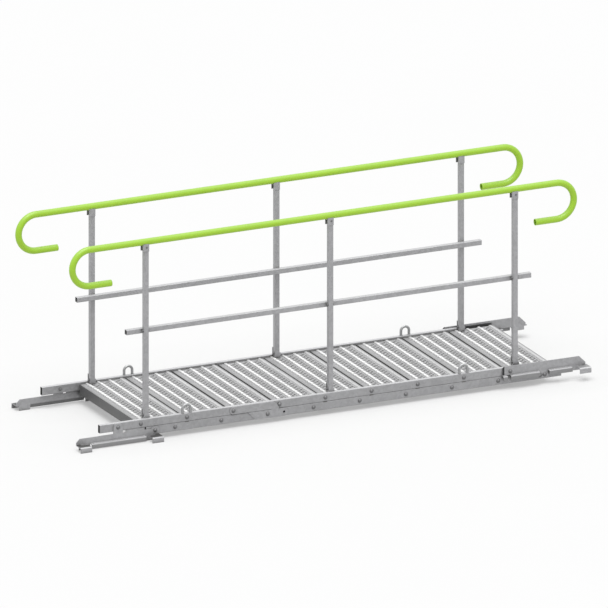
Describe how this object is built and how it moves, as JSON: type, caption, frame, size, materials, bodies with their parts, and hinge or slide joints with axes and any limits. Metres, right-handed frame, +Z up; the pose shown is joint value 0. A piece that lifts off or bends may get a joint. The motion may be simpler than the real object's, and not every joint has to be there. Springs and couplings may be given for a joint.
{
  "type": "temporary pedestrian bridge",
  "caption": "Temporary pedestrian bridge: an anti-slip plank deck between paired box beams, tube guardrails with hooped handrails, and bolted end channels on feet.",
  "frame": {"origin": "on the ground under the middle of the bridge, at the height of the left feet's soles", "axes": "+X along the walkway towards the end with the raised channels, +Y across the walkway, +Z up"},
  "size_m": [3.344, 0.97, 1.237],
  "materials": {
    "galvanised_steel": "hot-dip galvanised, matt, slightly mottled",
    "deck_steel": "galvanised pressed sheet, matt",
    "fitting_steel": "hot-dip galvanised, matt, with dull cut edges",
    "eye_steel": "zinc plated, satin",
    "handrail_paint": "lime green coating, semi-gloss"
  },
  "bodies": {
    "root": {"front_upper_beam": "galvanised_steel", "back_upper_beam": "galvanised_steel", "front_lower_beam": "galvanised_steel", "back_lower_beam": "galvanised_steel", "deck_plank_1": "deck_steel", "deck_plank_2": "deck_steel", "deck_plank_3": "deck_steel", "deck_plank_4": "deck_steel", "deck_plank_5": "deck_steel", "deck_plank_6": "deck_steel", "deck_plank_7": "deck_steel", "deck_plank_8": "deck_steel", "deck_plank_9": "deck_steel", "front_left_post": "galvanised_steel", "front_middle_post": "galvanised_steel", "front_right_post": "galvanised_steel", "back_left_post": "galvanised_steel", "back_middle_post": "galvanised_steel", "back_right_post": "galvanised_steel", "front_handrail": "handrail_paint", "back_handrail": "handrail_paint", "front_middle_rail": "galvanised_steel", "back_middle_rail": "galvanised_steel", "front_post_sockets": "fitting_steel", "back_post_sockets": "fitting_steel", "front_rail_saddles": "fitting_steel", "back_rail_saddles": "fitting_steel", "front_left_channel": "fitting_steel", "front_right_channel": "fitting_steel", "back_left_channel": "fitting_steel", "back_right_channel": "fitting_steel", "front_left_feet": "fitting_steel", "front_right_foot": "fitting_steel", "back_left_feet": "fitting_steel", "back_right_foot": "fitting_steel", "front_left_eye": "eye_steel", "front_right_eye": "eye_steel", "back_left_eye": "eye_steel", "back_right_eye": "eye_steel", "front_joint_plate": "fitting_steel", "back_joint_plate": "fitting_steel"}
  },
  "joints": []
}
